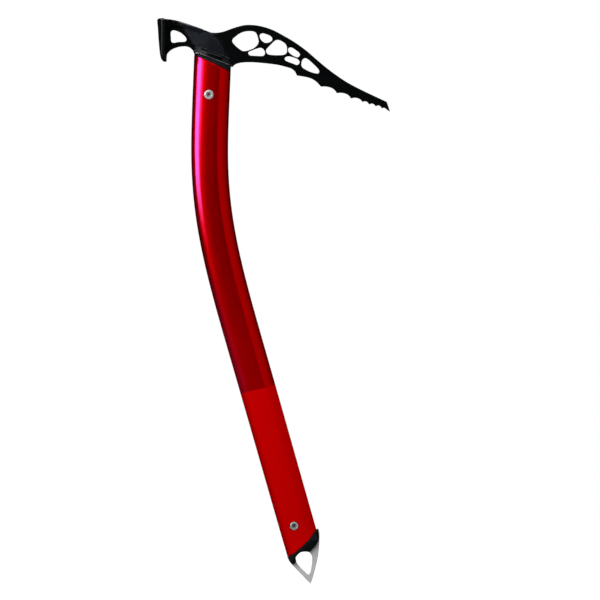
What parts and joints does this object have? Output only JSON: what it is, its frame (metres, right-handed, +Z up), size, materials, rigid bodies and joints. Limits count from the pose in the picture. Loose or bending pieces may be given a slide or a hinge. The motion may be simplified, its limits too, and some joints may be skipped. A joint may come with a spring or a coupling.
{
  "type": "ice axe",
  "caption": "Short bent-shaft ice axe: toothed, perforated pick, scooped adze, hollow alloy shaft with a blasted lower grip, and a pointed spike with a clip eye.",
  "frame": {"origin": "the spike's point, which is also the bottom centre of the whole tool's box", "axes": "+X towards the pick's point, +Y across the tool's thickness, +Z up from the spike to the head; the tool lies in the XZ plane"},
  "size_m": [0.202, 0.048, 0.5126],
  "materials": {
    "head_steel": "satin black coating",
    "moulded_black": "fine moulded grain",
    "fastener_steel": "bright plated",
    "shaft_red": "red anodised, glossy above and blasted matte on the lower grip",
    "spike_steel": "ground stainless"
  },
  "bodies": {
    "root": {"head": "head_steel", "head_insert_left": "moulded_black", "head_insert_right": "moulded_black", "head_screw": "fastener_steel", "head_sleeve_nut": "fastener_steel", "shaft": "shaft_red", "spike": "spike_steel", "spike_insert_left": "moulded_black", "spike_insert_right": "moulded_black", "spike_screw": "fastener_steel", "spike_sleeve_nut": "fastener_steel"}
  },
  "joints": []
}
